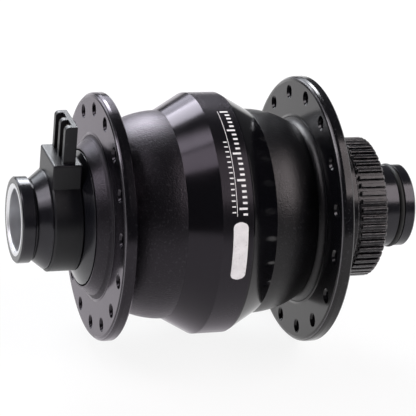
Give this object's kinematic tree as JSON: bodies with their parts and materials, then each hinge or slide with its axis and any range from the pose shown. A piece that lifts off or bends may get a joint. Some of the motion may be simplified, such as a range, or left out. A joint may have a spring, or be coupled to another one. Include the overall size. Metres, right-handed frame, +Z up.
{
  "type": "hub dynamo",
  "caption": "Front bicycle hub with a built-in generator: turning flanged shell with a splined rotor seat, a hollow fixed axle for a thru-axle and an upright lamp connector.",
  "frame": {"origin": "on the axle line, midway between the two outer end faces", "axes": "+X along the axle from the connector side to the brake rotor side, +Z up along the connector, +Y away from the viewer of the picture"},
  "size_m": [0.1, 0.0662, 0.0662],
  "materials": {
    "blasted_anodised": "black anodised over fine bead blasting",
    "gloss_anodised": "glossy black anodised, turned",
    "satin_anodised": "satin dark grey anodised, turned",
    "bare_aluminium": "bare, turned",
    "connector_plastic": "moulded black nylon, fine grain",
    "contact_brass": "tinned, slightly dull",
    "copper_wire": "enamelled copper",
    "bearing_steel": "ground",
    "ball_steel": "polished",
    "stator_steel": "zinc plated",
    "magnet": "nickel plated",
    "seal_rubber": "moulded",
    "cage_plastic": "moulded nylon",
    "bobbin_plastic": "moulded"
  },
  "bodies": {
    "axle_group": {"axle_tube": "bare_aluminium", "left_end_cap": "gloss_anodised", "left_locknut": "gloss_anodised", "connector_body": "connector_plastic", "contact_strips": "contact_brass", "lead_wires": "copper_wire", "left_dust_cover": "satin_anodised", "left_inner_race": "bearing_steel", "left_spacer": "bare_aluminium", "left_claw_plate": "stator_steel", "right_claw_plate": "stator_steel", "stator_core": "stator_steel", "coil_bobbin": "bobbin_plastic", "coil_winding": "copper_wire", "stator_nut": "bearing_steel", "right_spacer": "bare_aluminium", "right_inner_race": "bearing_steel", "right_end_cap": "gloss_anodised", "cap_oring": "seal_rubber"},
    "hub_shell": {"left_shell": "blasted_anodised", "right_shell": "blasted_anodised", "flux_ring": "stator_steel", "magnet_ring": "magnet", "left_outer_race": "bearing_steel", "left_bearing_seals": "seal_rubber", "right_outer_race": "bearing_steel", "right_bearing_seals": "seal_rubber"},
    "left_ball_set": {"left_balls": "ball_steel", "left_ball_cage": "cage_plastic"},
    "right_ball_set": {"right_balls": "ball_steel", "right_ball_cage": "cage_plastic"}
  },
  "joints": [
    {"name": "hub_spin", "type": "hinge", "parent": "axle_group", "child": "hub_shell", "pos_m": [0, 0, 0], "axis": [1, 0, 0], "continuous": true},
    {"name": "left_balls_roll", "type": "hinge", "parent": "axle_group", "child": "left_ball_set", "pos_m": [0, 0, 0], "axis": [1, 0, 0], "continuous": true},
    {"name": "right_balls_roll", "type": "hinge", "parent": "axle_group", "child": "right_ball_set", "pos_m": [0, 0, 0], "axis": [1, 0, 0], "continuous": true}
  ],
  "couplings": [
    {"joint": "left_balls_roll", "follows": "hub_spin", "ratio": 0.5673},
    {"joint": "right_balls_roll", "follows": "hub_spin", "ratio": 0.5558}
  ]
}
